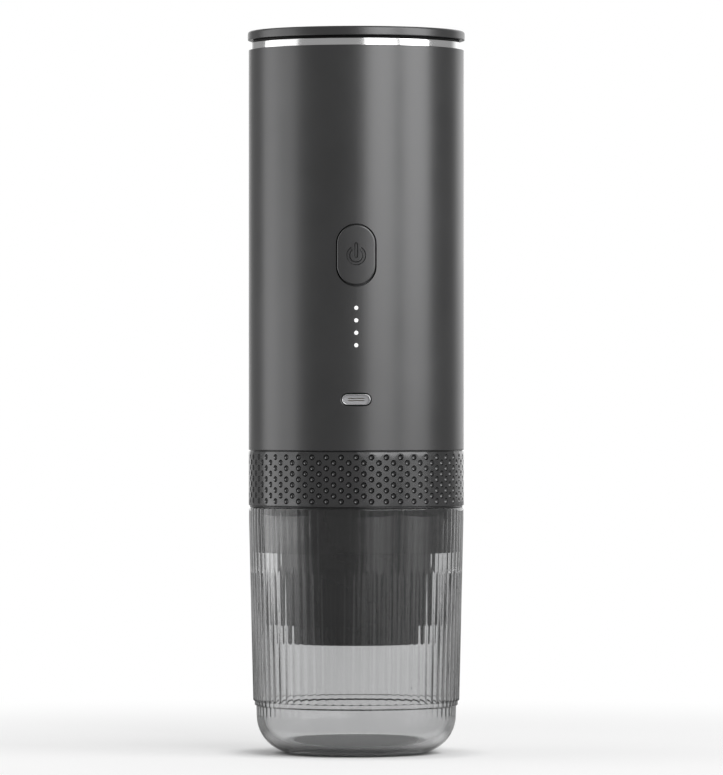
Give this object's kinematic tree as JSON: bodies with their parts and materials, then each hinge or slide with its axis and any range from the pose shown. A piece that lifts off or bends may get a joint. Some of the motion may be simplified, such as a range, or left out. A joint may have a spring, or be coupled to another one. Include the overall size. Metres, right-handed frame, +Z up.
{
  "type": "portable coffee maker",
  "caption": "Slim battery coffee maker that stands on its own fluted clear cup, with a dimpled grip ring, power button, charging port, steel rim and screw lid.",
  "frame": {"origin": "middle of the cup's foot, on the surface that it stands on", "axes": "+Z up along the axis of the body, -Y towards the front with the button"},
  "size_m": [0.0686, 0.0689, 0.228],
  "materials": {
    "clear_cup": "smoke-clear moulded plastic, polished",
    "graphite": "satin",
    "dark_plastic": "fine satin moulding",
    "frame_plastic": "plain moulding",
    "steel": "brushed",
    "bright_steel": "polished",
    "seal_rubber": "matt silicone",
    "hose_rubber": "translucent silicone",
    "aluminium": "machined",
    "cell_wrap": "shrink wrap",
    "board": "solder mask",
    "light": "milky diffuser",
    "brass": "plain"
  },
  "bodies": {
    "cup": {"cup": "clear_cup"},
    "brew_unit": {"grip_sleeve": "graphite", "brew_collar": "dark_plastic", "basket_holder": "dark_plastic", "coffee_basket": "steel", "filter_disc": "steel", "outlet_cap": "dark_plastic"},
    "brew_seal": {"group_seal": "seal_rubber"},
    "main_body": {"brew_head": "dark_plastic", "shower_screen": "steel", "screen_screw": "steel", "head_screws": "steel", "battery_frame": "frame_plastic", "battery_cells": "cell_wrap", "cell_tabs": "steel", "pump_damper": "seal_rubber", "pump_head": "frame_plastic", "pump_motor": "steel", "inlet_tube": "hose_rubber", "outlet_tube": "hose_rubber", "main_board": "board", "switch_body": "dark_plastic", "leds": "light", "light_guide": "light", "usb_socket": "bright_steel", "heater_plate": "aluminium", "heating_element": "steel", "temperature_sensor": "brass", "water_tank": "steel", "tank_sleeve": "dark_plastic", "tank_seal": "seal_rubber", "housing": "graphite", "rim_ring": "bright_steel"},
    "button": {"power_button": "graphite", "switch_plunger": "frame_plastic"},
    "lid_seal": {"lid_seal": "seal_rubber"},
    "lid": {"lid_cap": "graphite", "lid_liner": "dark_plastic"}
  },
  "joints": [
    {"name": "cup_pull", "type": "slide", "parent": "cup", "child": "brew_unit", "axis": [0, 0, 1], "range_m": [0, 0.06]},
    {"name": "unscrew_lift", "type": "slide", "parent": "brew_unit", "child": "brew_seal", "axis": [0, 0, 1], "range_m": [0, 0.01501]},
    {"name": "unscrew_turn", "type": "hinge", "parent": "brew_seal", "child": "main_body", "pos_m": [0, 0, 0.0953], "axis": [0, 0, 1], "range_deg": [0, 900]},
    {"name": "button_press", "type": "slide", "parent": "main_body", "child": "button", "axis": [0, 1, 0], "range_m": [0, 0.0008], "stiffness_N_per_m": 800, "springref_m": -0.0012},
    {"name": "lid_lift", "type": "slide", "parent": "main_body", "child": "lid_seal", "axis": [0, 0, 1], "range_m": [0, 0.01501]},
    {"name": "lid_turn", "type": "hinge", "parent": "lid_seal", "child": "lid", "pos_m": [0, 0, 0.2254], "axis": [0, 0, 1], "range_deg": [0, 1080]}
  ],
  "couplings": [
    {"joint": "unscrew_lift", "follows": "unscrew_turn", "m_per_rad": 0.00095493},
    {"joint": "lid_lift", "follows": "lid_turn", "m_per_rad": 0.00079577}
  ]
}
